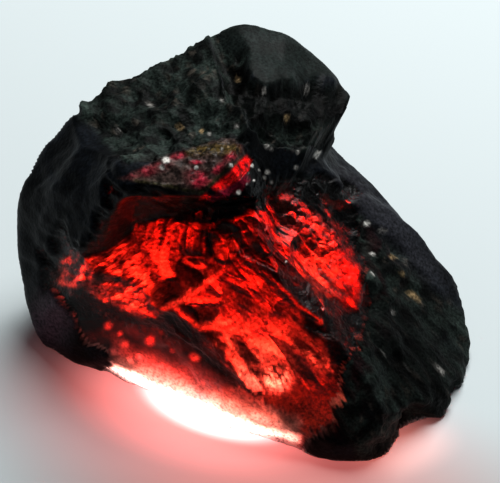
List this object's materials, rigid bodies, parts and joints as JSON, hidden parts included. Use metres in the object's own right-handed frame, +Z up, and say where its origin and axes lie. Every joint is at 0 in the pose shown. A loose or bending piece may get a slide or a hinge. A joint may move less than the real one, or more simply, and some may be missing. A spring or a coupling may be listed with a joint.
{
  "type": "painite crystal",
  "caption": "Rough, near-black gem crystal with a hollowed red fracture in its front, an overhanging knob at the top and a flat face to rest on.",
  "frame": {"origin": "on the resting face, under the middle of the crystal's box", "axes": "+X along the crystal's longest extent, to the right of the side that shows; +Y to its back; +Z up from the resting face"},
  "size_m": [0.0224, 0.0172, 0.013],
  "materials": {
    "painite": "glassy, near black where worn or crusted, deep red where light passes through the broken face"
  },
  "bodies": {
    "root": {"painite_crystal": "painite"}
  },
  "joints": []
}
